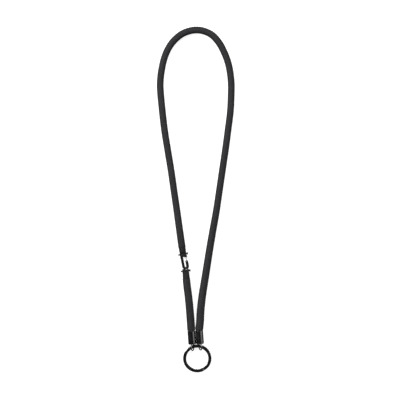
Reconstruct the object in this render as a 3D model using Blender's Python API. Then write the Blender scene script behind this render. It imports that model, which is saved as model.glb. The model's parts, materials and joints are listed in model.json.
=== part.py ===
"""A neck lanyard: a round braided cord in two lengths, joined by a small spring-gate hook on one side,
with both free ends glued into tube ferrules whose swivel eyes share one split ring. It lies flat on a table.

+X is to the right and +Y towards the top of the loop, seen from above. +Z is up out of the table at Z = 0.
The origin is on the table, under the middle of the metal pieces.
"""

from math import asin, atan2, copysign, cos, pi, radians, sin, sqrt

import bmesh
import bpy
from mathutils import Matrix, Vector

MM = 0.001
GAP = 0.3 * MM

# Cord
CORD_R = 4.0 * MM
CORD_R_AT_FERRULES = 4.45 * MM
CORD_SWELLS_FROM_Y = 60 * MM
CORD_SWELLS_TO_Y = -10 * MM
CORD_FLOOR_GAP = 0.02 * MM
CORD_SPACING = 12.5 * MM
SHORT_CORD_SPACING = 9.0 * MM
CORD_IN_FERRULE_R = 3.25 * MM
CORD_SHOULDER = 0.9 * MM

# The long cord's middle line from the hook, over the top of the loop, to the right ferrule, in millimetres.
LONG_ROUTE = [
    (-17.3, 94.5), (-20.5, 117.5), (-24.0, 141.5), (-27.3, 164.5), (-31.1, 187.5), (-34.7, 210.0),
    (-37.4, 233.0), (-39.6, 256.5), (-39.6, 268.0), (-38.3, 279.5), (-35.6, 292.0),
    (-31.6, 302.5), (-25.4, 312.3), (-16.4, 320.5), (-7.3, 324.7), (2.1, 326.2), (11.4, 324.7),
    (20.6, 319.9), (28.6, 310.8), (34.4, 299.8), (38.3, 289.5), (40.6, 279.5), (42.1, 267.5),
    (42.3, 255.5), (41.3, 233.0), (38.5, 210.0), (35.4, 187.0), (32.0, 164.0), (28.6, 141.0),
    (25.1, 117.5), (21.0, 94.5), (17.1, 71.5), (12.6, 43.0), (9.0, 20.5), (6.95, 2.5), (6.25, -10.5),
]
# The short cord's middle line, from below the hook's eye bar to the left ferrule.
SHORT_ROUTE = [
    (-8.8, 31.0), (-7.4, 20.5), (-6.3, 10.5), (-5.4, 0.5), (-4.55, -10.5),
]

# Split ring: two turns of flat wire, hung on the line through both eyes
RING_OUTER_R = 16.45 * MM
RING_BAND = 3.7 * MM
RING_TURN_THICK = 1.0 * MM
RING_TURN_GAP = 0.1 * MM
RING_CHAMFER = 0.28 * MM
RING_STEP_AT = radians(-52)
RING_STEP_HALF = radians(11)
RING_END_GAP = radians(3)
RING_STATIONS_PER_TURN = 44
RING_FLOOR_GAP = 0.03 * MM

# The two points on the middle of the ring's band that it swings about, one in each eye
LEFT_HOLD = Vector((-2.46, -39.8, 4.45)) * MM
RIGHT_HOLD = Vector((6.5, -39.16, 4.45)) * MM

# Ferrules: each leans about the middle of its closed end, and its own y runs from there (0) to the mouth
LEFT_END = Vector((-2.72, -36.75, 4.45)) * MM
RIGHT_END = Vector((6.28, -36.2, 4.45)) * MM
LEFT_LEAN = radians(4.2)
RIGHT_LEAN = radians(4.0)
FERRULE_R = 4.45 * MM
FERRULE_LONG = 15.5 * MM
FERRULE_BORE_R = 3.7 * MM
FERRULE_FLOOR = (1.9 * MM, 4.1 * MM)
FERRULE_LIP = 0.35 * MM
FERRULE_SIDES = 28
CUP_R = 3.5 * MM
CUP_EDGE_WIDE = 0.08 * MM
CUP_EDGE_DEEP = 0.25 * MM
SHANK_HOLE_R = 1.35 * MM
FERRULE_ROUND = 0.8 * MM

# Swivel eyes and their washers
EYE_R = 4.0 * MM
EYE_WIRE_R = 0.55 * MM
EYE_Y = -3.25 * MM
SHANK_R = 1.05 * MM
HEAD_R = 2.0 * MM
SHANK_SIDES = 14
HEAD_Y = (5.1 * MM, 5.9 * MM)
HEAD_EDGE_WIDE = 0.3 * MM
HEAD_EDGE_DEEP = 0.25 * MM
WASHER_R = 2.9 * MM
WASHER_Y = (4.4 * MM, 4.8 * MM)
WASHER_SIDES = 20
CORD_END_Y = 6.5 * MM
LEFT_TURN = radians(22)
RIGHT_TURN = radians(-24)

# Hook: its own x runs across the cord and its own y towards the long cord
HOOK_AT = Vector((-13.35, 67.25, 4.1)) * MM
HOOK_LEAN = radians(11.5)
BAR_R = 0.9 * MM
BAR_HALF = 5.7 * MM
BAR_HEAD_R = 1.45 * MM
BAR_HEAD_FROM_X = 4.4 * MM
BAR_EDGE = 0.25 * MM
BAR_SIDES = 16
WIRE_WIDE = 3.2 * MM
WIRE_THICK = 1.9 * MM
WIRE_CHAMFER = 0.45 * MM
SPINE_X = -2.35 * MM
NOSE_X = 2.3 * MM
STEM_SHARE = 0.52
STEM_TO_Y = -1.3 * MM
SHOULDER_Y = -2.2 * MM
WEB_Y = -2.65 * MM
WEB_WIDE = 1.6 * MM
BEND_CENTRE = Vector((0.05, -14.3)) * MM
BEND_INNER = Vector((0.8, 1.5)) * MM
BEND_OUTER = Vector((4.0, 3.45)) * MM
BEND_OUTER_SQUARENESS = 2.4
ARM_X = 2.45 * MM
ARM_TIP_Y = -8.0 * MM
NOSE_TIP_Y = -4.1 * MM
LIP_LOW = Vector((3.2, -5.2, -0.7)) * MM
LIP_HIGH = Vector((3.9, -3.3, 0.7)) * MM
PIN_AT = Vector((2.45, -9.0)) * MM
PIN_R = 0.4 * MM
PIN_HALF = 1.1 * MM
PIN_HOLE_R = 0.55 * MM
PIN_SIDES = 12
SLOT_LOW = Vector((0.3, -10.8, -0.65)) * MM
SLOT_HIGH = Vector((4.8, -7.0, 0.65)) * MM
THROUGH = 3.0 * MM
GATE_TIP = Vector((2.45, -4.45)) * MM
GATE_HALF_WIDE = 0.55 * MM
GATE_TAIL_R = 0.75 * MM
GATE_TAIL_HALF = 0.45 * MM
GATE_BODY_HALF = 0.9 * MM
GATE_BODY_FROM = 1.6 * MM
GATE_TAIL_INTO_BODY = 0.5 * MM
GATE_TIP_CHAMFER = 0.2 * MM
SPRING_THICK = 0.3 * MM
SPRING_WIDE = 0.8 * MM
SPRING_FOOT = [(0.15, -1.4), (-0.75, -1.4), (-1.2, -1.1), (-1.35, -0.4)]
SPRING_TOP = [(-1.2, 0.8), (-0.95, 2.2)]

# Eye bar: the lower half of the hook coupling, in its own leaning frame
EYE_BAR_AT = Vector((-10.35, 47.95, 4.1)) * MM
EYE_BAR_LEAN = radians(7.5)
LINK_EYE_AT = Vector((0.69, 2.5)) * MM
LINK_EYE_R = 2.1 * MM
LINK_EYE_WIRE_R = 0.5 * MM
LINK_EYE_SIDES = 24

# Cord end loops: the flattened, sewn cord ends that go round the two bars
LOOP_LONG = 8.6 * MM
LOOP_FROM = 1.2 * MM
LOOP_FLAT_HALF_WIDE = 4.0 * MM
LOOP_FLAT_HALF_THICK = 2.3 * MM
LOOP_END_R = 4.0 * MM
TONGUE_INNER_R = 1.12 * MM
TONGUE_THICK = 0.48 * MM
TONGUE_LEG = 0.6 * MM
FLAP_Z = (1.16 * MM, 1.54 * MM)
FLAP_STEP = 0.02 * MM
UPPER_LEAN = radians(9)
LOWER_LEAN = radians(5)
UPPER_TONGUES = [(-1.25 * MM, 1.2 * MM)]
UPPER_FLAPS = [(-3.8 * MM, 3.8 * MM, -2.2 * MM)]
LOWER_TONGUES = [(-3.9 * MM, -1.5 * MM), (0.12 * MM, 3.9 * MM)]
LOWER_FLAPS = [
    (-3.8 * MM, 3.8 * MM, 0.25 * MM),
    (-3.75 * MM, -1.55 * MM, -2.2 * MM),
    (0.17 * MM, 3.75 * MM, -2.2 * MM),
]
STITCH_R = 0.22 * MM
STITCH_FROM = 3.0 * MM
STITCH_STEP = 0.55 * MM
STITCH_TURNS = 8
STITCH_HALF_WIDE = 2.1 * MM


def clear_scene():
    for obj in list(bpy.data.objects):
        bpy.data.objects.remove(obj, do_unlink=True)


def material(name, colour, roughness, metallic):
    made = bpy.data.materials.get(name) or bpy.data.materials.new(name)
    made.use_nodes = True
    shader = made.node_tree.nodes["Principled BSDF"]
    shader.inputs["Base Color"].default_value = (*colour, 1)
    shader.inputs["Roughness"].default_value = roughness
    shader.inputs["Metallic"].default_value = metallic
    return made


def braid():
    return material("black_braid", (0.035, 0.035, 0.038), 0.85, 0)


def thread():
    return material("black_thread", (0.02, 0.02, 0.022), 0.6, 0)


def black_metal():
    return material("black_metal", (0.012, 0.012, 0.014), 0.2, 0.9)


def bright_steel():
    return material("bright_steel", (0.7, 0.7, 0.7), 0.2, 1)


def add_object(name, data, surface, place=None):
    obj = bpy.data.objects.new(name, data)
    data.materials.append(surface)
    bpy.context.scene.collection.objects.link(obj)
    if place is not None:
        obj.matrix_world = place
    return obj


def mesh_from(name, shape):
    bmesh.ops.recalc_face_normals(shape, faces=shape.faces)
    mesh = bpy.data.meshes.new(name)
    shape.to_mesh(mesh)
    shape.free()
    mesh.shade_smooth()
    mesh.set_sharp_from_angle(angle=radians(35))
    return mesh


def skin(rings, closed=False):
    """A bmesh through rings of points, with flat ends, or joined end to end where it is closed."""
    shape = bmesh.new()
    rows = [[shape.verts.new(point) for point in ring] for ring in rings]
    count = len(rows[0])
    pairs = list(zip(rows, rows[1:]))
    if closed:
        pairs.append((rows[-1], rows[0]))
    for first, second in pairs:
        for i in range(count):
            j = (i + 1) % count
            shape.faces.new((first[i], first[j], second[j], second[i]))
    if not closed:
        shape.faces.new(rows[0])
        shape.faces.new(reversed(rows[-1]))
    return shape


def turned(profile, segments):
    """A closed (radius, y) outline turned about the y axis."""
    rings = []
    for k in range(segments):
        angle = 2 * pi * k / segments
        rings.append([Vector((r * cos(angle), y, r * sin(angle))) for r, y in profile])
    return skin(rings, closed=True)


def rod(start, end, radius, sides=14):
    axis = (end - start).normalized()
    across = axis.orthogonal().normalized()
    other = axis.cross(across)
    angles = [2 * pi * k / sides for k in range(sides)]
    ring = [radius * (cos(a) * across + sin(a) * other) for a in angles]
    return skin([[start + p for p in ring], [end + p for p in ring]])


def chamfered(half_a, half_b, chamfer):
    """The eight corners of a rectangle with its corners cut."""
    a, b, c = half_a, half_b, chamfer
    upper = [(a, b - c), (a - c, b), (c - a, b), (-a, b - c)]
    return upper + [(-x, -y) for x, y in upper]


def flat_sweep(path, section):
    """A section, (across, z) pairs, swept along a path in the x-y plane."""
    rings = []
    last = len(path) - 1
    for i, point in enumerate(path):
        along = (path[min(i + 1, last)] - path[max(i - 1, 0)]).normalized()
        across = Vector((-along.y, along.x))
        rings.append([Vector((*(point + a * across), z)) for a, z in section])
    return skin(rings)


def flat_strip(inner, outer, half_thick, chamfer):
    """A bar of even thickness between two edges in the x-y plane, with its corners cut."""
    rings = []
    for p, q in zip(inner, outer):
        half_wide = (p - q).length / 2
        across = (p - q).normalized()
        section = chamfered(half_wide, half_thick, chamfer)
        rings.append([Vector((*((p + q) / 2 + a * across), z)) for a, z in section])
    return skin(rings)


def box(low, high):
    shape = bmesh.new()
    bmesh.ops.create_cube(shape, size=1)
    size = [b - a for a, b in zip(low, high)]
    middle = [(a + b) / 2 for a, b in zip(low, high)]
    bmesh.ops.scale(shape, vec=size, verts=shape.verts)
    bmesh.ops.translate(shape, vec=middle, verts=shape.verts)
    return shape


def prism(outline, low_z, high_z):
    """An outline in the x-y plane, given height."""
    return skin([[Vector((*p, low_z)) for p in outline], [Vector((*p, high_z)) for p in outline]])


def round_torus(centre, ring_r, wire_r, stations=28, sides=8):
    """A round wire ring in the y-z plane."""
    rings = []
    for k in range(stations):
        angle = 2 * pi * k / stations
        out = Vector((0, cos(angle), sin(angle)))
        middle = centre + ring_r * out
        turns = [2 * pi * (j + 0.5) / sides for j in range(sides)]
        rings.append([middle + wire_r * (cos(t) * out + sin(t) * Vector((1, 0, 0))) for t in turns])
    return skin(rings, closed=True)


def add_tool(name, shape, place):
    tool = add_object(name, mesh_from(name, shape), black_metal(), place)
    tool.hide_render = True
    tool.display_type = "WIRE"
    return tool


def combine(obj, tool, operation):
    step = obj.modifiers.new(tool.name, "BOOLEAN")
    step.object = tool
    step.operation = operation
    step.solver = "EXACT"


def standing(at, lean, turn=0.0):
    """Where a piece is put: leaning in the x-y plane and turned about its own y axis."""
    return Matrix.Translation(at) @ Matrix.Rotation(lean, 4, "Z") @ Matrix.Rotation(turn, 4, "Y")


def smooth_line(points, spacing):
    """Evenly spaced points on a Catmull-Rom curve through the points."""
    ends = [2 * points[0] - points[1], *points, 2 * points[-1] - points[-2]]
    fine = [points[0]]
    steps = 24
    for a, b, c, d in zip(ends, ends[1:], ends[2:], ends[3:]):
        for k in range(1, steps + 1):
            t = k / steps
            curve = 2 * b + (c - a) * t + (2 * a - 5 * b + 4 * c - d) * t * t + (3 * b - a - 3 * c + d) * t**3
            fine.append(curve / 2)
    along = [0.0]
    for a, b in zip(fine, fine[1:]):
        along.append(along[-1] + (b - a).length)
    count = max(2, round(along[-1] / spacing))
    line = []
    k = 0
    for i in range(count + 1):
        at = along[-1] * i / count
        while k < len(along) - 2 and along[k + 1] < at:
            k += 1
        share = (at - along[k]) / (along[k + 1] - along[k])
        line.append(fine[k].lerp(fine[k + 1], share))
    return line


def loop_end(at, lean):
    """Where a cord starts: just past the end of the loop that goes round the bar at this point."""
    start = at + (LOOP_LONG + GAP) * Vector((-sin(lean), cos(lean), 0))
    return lying(start.x, start.y)


def cord_radius(y):
    """The cord is a little thicker near the ferrules."""
    share = (CORD_SWELLS_FROM_Y - y) / (CORD_SWELLS_FROM_Y - CORD_SWELLS_TO_Y)
    return CORD_R + (CORD_R_AT_FERRULES - CORD_R) * min(1, max(0, share))


def lying(x, y):
    """A point of a cord's middle line where the cord lies on the table."""
    return Vector((x, y, cord_radius(y) + CORD_FLOOR_GAP))


def cord(name, start, route, spacing, end, lean):
    """A solid tube along the route, narrowed where it goes down into its ferrule."""
    up = Vector((-sin(lean), cos(lean), 0))
    points = [start, *[lying(x * MM, y * MM) for x, y in route]]
    line = smooth_line([*points, end + (FERRULE_LONG + CORD_SHOULDER) * up], spacing)
    line += [end + (FERRULE_LONG + GAP / 2) * up, end + CORD_END_Y * up]
    data = bpy.data.curves.new(name, "CURVE")
    data.dimensions = "3D"
    data.bevel_depth = CORD_R
    data.bevel_resolution = 4
    data.use_fill_caps = True
    spline = data.splines.new("POLY")
    spline.points.add(len(line) - 1)
    for spot, point in zip(spline.points, line):
        spot.co = (*point, 1)
        spot.radius = cord_radius(point.y) / CORD_R
    for spot in spline.points[-2:]:
        spot.radius = CORD_IN_FERRULE_R / CORD_R
    return add_object(name, data, braid())


def ferrule(name, end, lean):
    """A tube with an inner floor for the swivel, a cup below it and a bore for the cord above it."""
    r, long, cut = FERRULE_R, FERRULE_LONG, FERRULE_ROUND
    lip = FERRULE_LIP
    corner = [(r - cut + cut * sin(t), cut - cut * cos(t)) for t in (0, pi / 8, pi / 4, 3 * pi / 8, pi / 2)]
    profile = [
        (SHANK_HOLE_R, FERRULE_FLOOR[0]),
        (CUP_R, FERRULE_FLOOR[0]),
        (CUP_R, CUP_EDGE_DEEP),
        (CUP_R + CUP_EDGE_WIDE, 0),
        *corner,
        (r, long - lip),
        (r - lip / 3, long - lip / 3),
        (r - lip, long),
        (FERRULE_BORE_R + lip / 3, long),
        (FERRULE_BORE_R, long - lip),
        (FERRULE_BORE_R, FERRULE_FLOOR[1]),
        (SHANK_HOLE_R, FERRULE_FLOOR[1]),
    ]
    mesh = mesh_from(name, turned(profile, FERRULE_SIDES))
    return add_object(name, mesh, black_metal(), standing(end, lean))


def swivel_eye(name, end, lean, turn):
    """A wire eye on a headed shank that turns in the ferrule's floor."""
    place = standing(end, lean, -turn)
    centre = Vector((0, EYE_Y, 0))
    eye = add_object(name, mesh_from(name, round_torus(centre, EYE_R, EYE_WIRE_R)), black_metal(), place)
    foot = centre.y + EYE_R
    profile = [(HEAD_EDGE_WIDE, foot), (SHANK_R, foot), (SHANK_R, HEAD_Y[0]), (HEAD_R, HEAD_Y[0])]
    profile += [(HEAD_R, HEAD_Y[1] - HEAD_EDGE_DEEP), (HEAD_R - HEAD_EDGE_WIDE, HEAD_Y[1])]
    angles = [2 * pi * k / SHANK_SIDES for k in range(SHANK_SIDES)]
    rings = [[Vector((r * cos(a), y, r * sin(a))) for a in angles] for r, y in profile]
    combine(eye, add_tool(name + "_shank", skin(rings), place), "UNION")
    return eye


def swivel_washer(name, end, lean):
    """The washer between the shank's head and the ferrule's floor."""
    inner = SHANK_HOLE_R
    profile = [(inner, WASHER_Y[0]), (WASHER_R, WASHER_Y[0]), (WASHER_R, WASHER_Y[1]), (inner, WASHER_Y[1])]
    mesh = mesh_from(name, turned(profile, WASHER_SIDES))
    return add_object(name, mesh, bright_steel(), standing(end, lean))


def ring_frame():
    """(the ring's place, how far its middle is from the line through both eyes)."""
    middle_r = RING_OUTER_R - RING_BAND / 2
    chord = RIGHT_HOLD - LEFT_HOLD
    drop = sqrt(middle_r**2 - (chord.length / 2) ** 2)
    half_thick = RING_TURN_THICK + RING_TURN_GAP / 2
    tilt = asin((LEFT_HOLD.z - half_thick - RING_FLOOR_GAP) / (drop + RING_OUTER_R))
    heading = atan2(chord.y, chord.x)
    place = Matrix.Translation((LEFT_HOLD + RIGHT_HOLD) / 2)
    return place @ Matrix.Rotation(heading, 4, "Z") @ Matrix.Rotation(tilt, 4, "X"), drop


def split_ring(name):
    """Two turns of flat wire that step from the lower turn to the upper. The origin is on the eyes' line."""
    place, drop = ring_frame()
    middle_r = RING_OUTER_R - RING_BAND / 2
    section = chamfered(RING_BAND / 2, RING_TURN_THICK / 2, RING_CHAMFER)
    layer = (RING_TURN_THICK + RING_TURN_GAP) / 2
    start = RING_STEP_AT + RING_STEP_HALF + RING_END_GAP
    end = start + 4 * pi - 2 * (RING_STEP_HALF + RING_END_GAP)
    step_at = start - RING_STEP_HALF - RING_END_GAP + 2 * pi
    count = 2 * RING_STATIONS_PER_TURN
    rings = []
    for k in range(count + 1):
        angle = start + (end - start) * k / count
        share = min(1, max(0, (angle - step_at) / (2 * RING_STEP_HALF) + 0.5))
        height = layer * (2 * share * share * (3 - 2 * share) - 1)
        out = Vector((cos(angle), sin(angle), 0))
        middle = Vector((0, -drop, height))
        rings.append([middle + (middle_r + a) * out + Vector((0, 0, b)) for a, b in section])
    return add_object(name, mesh_from(name, skin(rings)), black_metal(), place)


def hook_place():
    return standing(HOOK_AT, HOOK_LEAN)


def strap_bar():
    """A strap bar with a thicker head on its right end."""
    edge, head = BAR_EDGE, BAR_HEAD_R
    profile = [(-BAR_HALF, BAR_R - edge), (edge - BAR_HALF, BAR_R), (BAR_HEAD_FROM_X, BAR_R)]
    profile += [(BAR_HEAD_FROM_X, head - edge), (BAR_HEAD_FROM_X + edge, head)]
    profile += [(BAR_HALF - edge, head), (BAR_HALF, head - edge)]
    angles = [2 * pi * k / BAR_SIDES for k in range(BAR_SIDES)]
    return skin([[Vector((x, r * cos(a), r * sin(a))) for a in angles] for x, r in profile])


def stem(x, low_y):
    """A flat bar of the hook from its strap bar down to low_y, narrow where the cord's loop passes."""
    half = WIRE_WIDE / 2
    ys = (0, STEM_TO_Y, SHOULDER_Y, low_y)
    halves = (half * STEM_SHARE, half * STEM_SHARE, half, half)
    return [Vector((x + h, y)) for y, h in zip(ys, halves)], [Vector((x - h, y)) for y, h in zip(ys, halves)]


def bend_edge(size, squareness):
    """Half of a rounded outline, from the spine's side, below the bend's centre, to the arm's side."""
    power = 2 / squareness
    edge = []
    for k in range(15):
        angle = pi + pi * k / 14
        x = copysign(abs(cos(angle)) ** power, cos(angle)) * size.x
        edge.append(BEND_CENTRE + Vector((x, -abs(sin(angle)) ** power * size.y)))
    return edge


def hook_frame(name):
    """Strap bar, spine, web, bottom bend, short arm with a slotted tip, and nose, as one casting."""
    place = hook_place()
    half, half_thick = WIRE_WIDE / 2, WIRE_THICK / 2
    inner, outer = stem(SPINE_X, BEND_CENTRE.y + GAP)
    inner += bend_edge(BEND_INNER, 2) + [Vector((ARM_X - half, ARM_TIP_Y))]
    outer += bend_edge(BEND_OUTER, BEND_OUTER_SQUARENESS) + [Vector((ARM_X + half, ARM_TIP_Y))]
    shape = flat_strip(inner, outer, half_thick, WIRE_CHAMFER)
    hook = add_object(name, mesh_from(name, shape), black_metal(), place)
    combine(hook, add_tool("hook_bar", strap_bar(), place), "UNION")
    nose = flat_strip(*stem(NOSE_X, NOSE_TIP_Y), half_thick, WIRE_CHAMFER)
    combine(hook, add_tool("hook_nose", nose, place), "UNION")
    web_section = chamfered(WEB_WIDE / 2, half_thick - WIRE_CHAMFER / 4, WIRE_CHAMFER)
    web = flat_sweep([Vector((SPINE_X, WEB_Y)), Vector((NOSE_X, WEB_Y))], web_section)
    combine(hook, add_tool("hook_web", web, place), "UNION")
    combine(hook, add_tool("hook_lip", box(LIP_LOW, LIP_HIGH), place), "UNION")
    combine(hook, add_tool("hook_slot", box(SLOT_LOW, SLOT_HIGH), place), "DIFFERENCE")
    hole = rod(Vector((*PIN_AT, -THROUGH)), Vector((*PIN_AT, THROUGH)), PIN_HOLE_R)
    combine(hook, add_tool("hook_pin_hole", hole, place), "DIFFERENCE")
    return hook


def gate_place():
    """The gate's frame: its origin on the pin, its y towards the gate's tip."""
    reach = GATE_TIP - PIN_AT
    return hook_place() @ standing(Vector((*PIN_AT, 0)), atan2(-reach.x, reach.y)), reach.length


def hook_gate(name):
    """The steel gate: a thin tail on the pin, in the arm's slot, and a thicker blade across the mouth."""
    place, reach = gate_place()
    wide = GATE_HALF_WIDE
    tail_round = [pi + pi * k / 10 for k in range(11)]
    tail = [Vector((GATE_TAIL_R * cos(t), GATE_TAIL_R * sin(t))) for t in tail_round]
    tail_end = GATE_BODY_FROM + GATE_TAIL_INTO_BODY
    tail += [Vector((wide, tail_end)), Vector((-wide, tail_end))]
    mesh = mesh_from(name, prism(tail, -GATE_TAIL_HALF, GATE_TAIL_HALF))
    gate = add_object(name, mesh, bright_steel(), place)
    cut = GATE_TIP_CHAMFER
    blade = [Vector((-wide, GATE_BODY_FROM)), Vector((wide, GATE_BODY_FROM)), Vector((wide, reach - cut))]
    blade += [Vector((wide - cut, reach)), Vector((cut - wide, reach)), Vector((-wide, reach - cut))]
    body = prism(blade, -GATE_BODY_HALF, GATE_BODY_HALF)
    combine(gate, add_tool("gate_blade", body, place), "UNION")
    hole = rod(Vector((0, 0, -THROUGH)), Vector((0, 0, THROUGH)), PIN_HOLE_R, PIN_SIDES)
    combine(gate, add_tool("gate_hole", hole, place), "DIFFERENCE")
    return gate


def gate_pin(name):
    pin = rod(Vector((*PIN_AT, -PIN_HALF)), Vector((*PIN_AT, PIN_HALF)), PIN_R, PIN_SIDES)
    return add_object(name, mesh_from(name, pin), bright_steel(), hook_place())


def gate_spring(name):
    """A bent leaf: its foot is held in the slot below the pin and its top presses the gate shut."""
    path = [PIN_AT + Vector(point) * MM for point in SPRING_FOOT + SPRING_TOP]
    half_thick, half_wide = SPRING_THICK / 2, SPRING_WIDE / 2
    section = [(half_thick, half_wide), (-half_thick, half_wide)]
    section += [(-half_thick, -half_wide), (half_thick, -half_wide)]
    return add_object(name, mesh_from(name, flat_sweep(path, section)), bright_steel(), hook_place())


def eye_bar(name):
    """The lower strap bar with the upright eye that hangs in the hook's bend."""
    place = standing(EYE_BAR_AT, EYE_BAR_LEAN)
    made = add_object(name, mesh_from(name, strap_bar()), black_metal(), place)
    eye = round_torus(Vector((*LINK_EYE_AT, 0)), LINK_EYE_R, LINK_EYE_WIRE_R, LINK_EYE_SIDES)
    combine(made, add_tool("link_eye", eye, place), "UNION")
    return made


def loop_half_size(y):
    """(half width, half thickness, squareness) of a cord end loop at a distance from its bar."""
    share = (y - LOOP_FROM) / (LOOP_LONG - LOOP_FROM)
    ease = share * share * (3 - 2 * share)
    wide = LOOP_FLAT_HALF_WIDE + (LOOP_END_R - LOOP_FLAT_HALF_WIDE) * ease
    thick = LOOP_FLAT_HALF_THICK + (LOOP_END_R - LOOP_FLAT_HALF_THICK) * ease
    return wide, thick, 3.2 - 1.2 * ease


def loop_section(y, sides=16):
    wide, thick, power = loop_half_size(y)
    ring = []
    for k in range(sides):
        angle = 2 * pi * (k + 0.5) / sides
        x = copysign(abs(cos(angle)) ** (2 / power), cos(angle)) * wide
        z = copysign(abs(sin(angle)) ** (2 / power), sin(angle)) * thick
        ring.append(Vector((x, y, z)))
    return ring


def tongue(low_x, high_x):
    """The strip of the cord end that goes round the bar, as a U seen along the bar."""
    inner, outer = TONGUE_INNER_R, TONGUE_INNER_R + TONGUE_THICK
    angles = [pi / 2 + pi * k / 10 for k in range(11)]
    leg = LOOP_FROM + TONGUE_LEG
    outline = [(leg, outer), *[(outer * cos(t), outer * sin(t)) for t in angles], (leg, -outer)]
    outline += [(leg, -inner), *[(inner * cos(t), inner * sin(t)) for t in reversed(angles)], (leg, inner)]
    return skin([[Vector((x, y, z)) for y, z in outline] for x in (low_x, high_x)])


def flap(side, low_x, high_x, low_y, step):
    """A piece of the cord end's upper or lower layer, which lies over the bar from low_y on."""
    low_z, high_z = sorted((side * (FLAP_Z[0] - step), side * (FLAP_Z[1] + step)))
    return box((low_x, low_y, low_z), (high_x, LOOP_FROM + TONGUE_LEG / 2 - step, high_z))


def end_loop(name, place, tongues, flaps):
    stations = [LOOP_FROM + (LOOP_LONG - LOOP_FROM) * k / 5 for k in range(6)]
    body = skin([loop_section(y) for y in stations])
    loop = add_object(name, mesh_from(name, body), braid(), place)
    for k, (low, high) in enumerate(tongues):
        tool = add_tool(f"{name}_tongue_{k}", tongue(low, high), place)
        combine(loop, tool, "UNION")
    for k, (low_x, high_x, low_y) in enumerate(flaps):
        for side in (-1, 1):
            shape = flap(side, low_x, high_x, low_y, k * FLAP_STEP)
            combine(loop, add_tool(f"{name}_flap_{k}_{side}", shape, place), "UNION")
    return loop


def stitching(name, place):
    """A zigzag bar tack of thread across the top of a cord end loop."""
    path = []
    for k in range(STITCH_TURNS + 1):
        x = STITCH_HALF_WIDE * (1 if k % 2 else -1)
        y = STITCH_FROM + STITCH_STEP * k
        wide, thick, power = loop_half_size(y)
        rise = thick * (1 - abs(x / wide) ** power) ** (1 / power)
        path.append(Vector((x, y, rise + GAP + STITCH_R)))
        if k < STITCH_TURNS:
            path.append(Vector((0, y + STITCH_STEP / 2, thick + GAP + STITCH_R)))
    rings = []
    last = len(path) - 1
    for i, point in enumerate(path):
        along = (path[min(i + 1, last)] - path[max(i - 1, 0)]).normalized()
        side = along.cross(Vector((0, 0, 1))).normalized()
        lift = side.cross(along)
        turns = [2 * pi * j / 6 for j in range(6)]
        rings.append([point + STITCH_R * (cos(t) * side + sin(t) * lift) for t in turns])
    return add_object(name, mesh_from(name, skin(rings)), thread(), place)


def build():
    clear_scene()
    upper_end = loop_end(HOOK_AT, UPPER_LEAN)
    lower_end = loop_end(EYE_BAR_AT, LOWER_LEAN + pi)
    cord("long_cord", upper_end, LONG_ROUTE, CORD_SPACING, RIGHT_END, RIGHT_LEAN)
    cord("short_cord", lower_end, SHORT_ROUTE, SHORT_CORD_SPACING, LEFT_END, LEFT_LEAN)
    for side, end, lean, turn in (
        ("left", LEFT_END, LEFT_LEAN, LEFT_TURN),
        ("right", RIGHT_END, RIGHT_LEAN, RIGHT_TURN),
    ):
        ferrule(side + "_ferrule", end, lean)
        swivel_eye(side + "_swivel_eye", end, lean, turn)
        swivel_washer(side + "_swivel_washer", end, lean)
    split_ring("split_ring")
    hook_frame("hook_frame")
    hook_gate("hook_gate")
    gate_pin("gate_pin")
    gate_spring("gate_spring")
    eye_bar("eye_bar")
    upper = standing(HOOK_AT, UPPER_LEAN)
    lower = standing(EYE_BAR_AT, LOWER_LEAN + pi)
    end_loop("long_cord_end_loop", upper, UPPER_TONGUES, UPPER_FLAPS)
    end_loop("short_cord_end_loop", lower, LOWER_TONGUES, LOWER_FLAPS)
    stitching("long_cord_stitching", upper)
    stitching("short_cord_stitching", lower)


build()
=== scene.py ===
"""How the neck lanyard looks: braided cord, sewn ends, black metal and a bright gate, around its CAD model.

Lengths are in metres, in the CAD's own frame. The cords' routes, and the sizes of the swivel eyes, the hook,
the gate, the spring and the eye bar, are in millimetres and are multiplied by MM where they are used.
"""

import json
from math import atan2, cos, pi, radians, sin, sqrt

import bmesh
import bpy
import numpy as np
from mathutils import Matrix, Vector


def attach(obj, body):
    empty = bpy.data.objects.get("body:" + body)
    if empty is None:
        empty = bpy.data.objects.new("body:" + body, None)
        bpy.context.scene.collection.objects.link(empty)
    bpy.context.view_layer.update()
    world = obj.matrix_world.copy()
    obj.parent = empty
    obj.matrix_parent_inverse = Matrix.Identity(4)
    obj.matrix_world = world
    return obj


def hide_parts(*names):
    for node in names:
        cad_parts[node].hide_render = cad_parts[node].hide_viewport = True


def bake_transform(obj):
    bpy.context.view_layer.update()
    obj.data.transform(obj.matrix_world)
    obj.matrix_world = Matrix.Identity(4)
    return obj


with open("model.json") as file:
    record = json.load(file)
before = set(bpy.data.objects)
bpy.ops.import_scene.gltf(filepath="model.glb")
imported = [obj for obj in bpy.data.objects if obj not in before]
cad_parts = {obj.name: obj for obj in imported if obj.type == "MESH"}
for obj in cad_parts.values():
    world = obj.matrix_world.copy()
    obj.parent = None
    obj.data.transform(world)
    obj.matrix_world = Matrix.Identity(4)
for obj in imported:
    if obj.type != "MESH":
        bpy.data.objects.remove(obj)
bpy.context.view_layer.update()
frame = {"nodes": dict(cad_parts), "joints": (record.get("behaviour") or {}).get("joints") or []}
MM = 0.001

# Camera
VIEW_CENTRE = (6.17 * MM, 129.8 * MM)
VIEW_WIDTH = 0.462
LENS_MM = 100
SENSOR_MM = 36

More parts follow.
